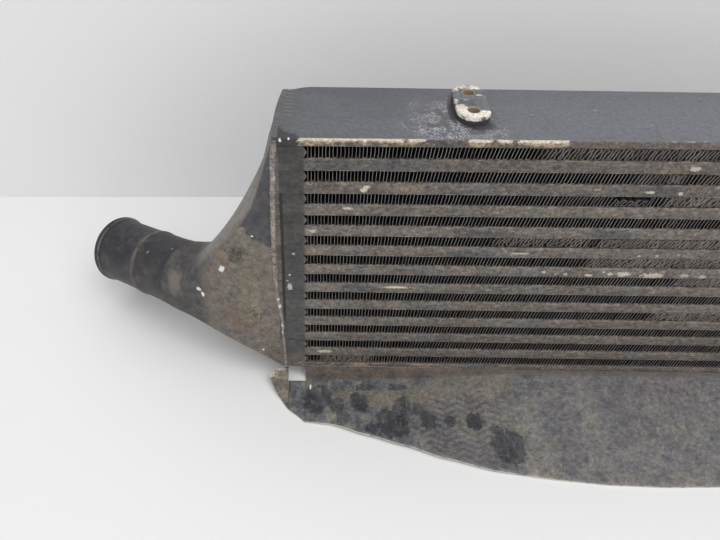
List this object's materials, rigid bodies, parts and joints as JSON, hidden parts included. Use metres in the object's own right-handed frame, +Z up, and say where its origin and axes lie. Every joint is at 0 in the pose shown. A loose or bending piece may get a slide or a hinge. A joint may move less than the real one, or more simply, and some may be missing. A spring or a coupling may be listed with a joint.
{
  "type": "intercooler",
  "caption": "Used bar-and-plate charge-air intercooler with end tanks swept back to round hose pipes, drilled mounting lugs and a torn sheet air guide under its front edge.",
  "frame": {"origin": "centre of the underside of the bottom side plate", "axes": "+X along the core, +Y from the air-entry face to the rear, +Z up"},
  "size_m": [0.9626, 0.2484, 0.2507],
  "materials": {
    "side_plate": "satin dark grey paint with white corrosion flecks",
    "fin_strip": "thin grey strip, dusty",
    "passage_bar": "weathered grey-brown aluminium",
    "turbulator_strip": "plain inside strip",
    "end_bar": "dark weathered aluminium",
    "tank_casting": "weathered grey-brown with dark patches",
    "hose_pipe": "charcoal, stained",
    "weld_bead": "light worn weld",
    "lug": "paint worn to white corrosion round the holes",
    "guide_sheet": "blue-black paint with tan dirt"
  },
  "bodies": {
    "root": {"top_side_plate": "side_plate", "bottom_side_plate": "side_plate", "fin_row_01": "fin_strip", "fin_row_02": "fin_strip", "fin_row_03": "fin_strip", "fin_row_04": "fin_strip", "fin_row_05": "fin_strip", "fin_row_06": "fin_strip", "fin_row_07": "fin_strip", "fin_row_08": "fin_strip", "fin_row_09": "fin_strip", "fin_row_10": "fin_strip", "fin_row_11": "fin_strip", "fin_row_12": "fin_strip", "passage_01": "passage_bar", "passage_02": "passage_bar", "passage_03": "passage_bar", "passage_04": "passage_bar", "passage_05": "passage_bar", "passage_06": "passage_bar", "passage_07": "passage_bar", "passage_08": "passage_bar", "passage_09": "passage_bar", "passage_10": "passage_bar", "passage_11": "passage_bar", "turbulator_01": "turbulator_strip", "turbulator_02": "turbulator_strip", "turbulator_03": "turbulator_strip", "turbulator_04": "turbulator_strip", "turbulator_05": "turbulator_strip", "turbulator_06": "turbulator_strip", "turbulator_07": "turbulator_strip", "turbulator_08": "turbulator_strip", "turbulator_09": "turbulator_strip", "turbulator_10": "turbulator_strip", "turbulator_11": "turbulator_strip", "end_bars_left": "end_bar", "end_bars_right": "end_bar", "left_tank": "tank_casting", "right_tank": "tank_casting", "left_pipe": "hose_pipe", "right_pipe": "hose_pipe", "left_weld": "weld_bead", "right_weld": "weld_bead", "top_lug_left": "lug", "top_lug_right": "lug", "bottom_lug_left": "lug", "bottom_lug_right": "lug", "air_guide": "guide_sheet"}
  },
  "joints": []
}
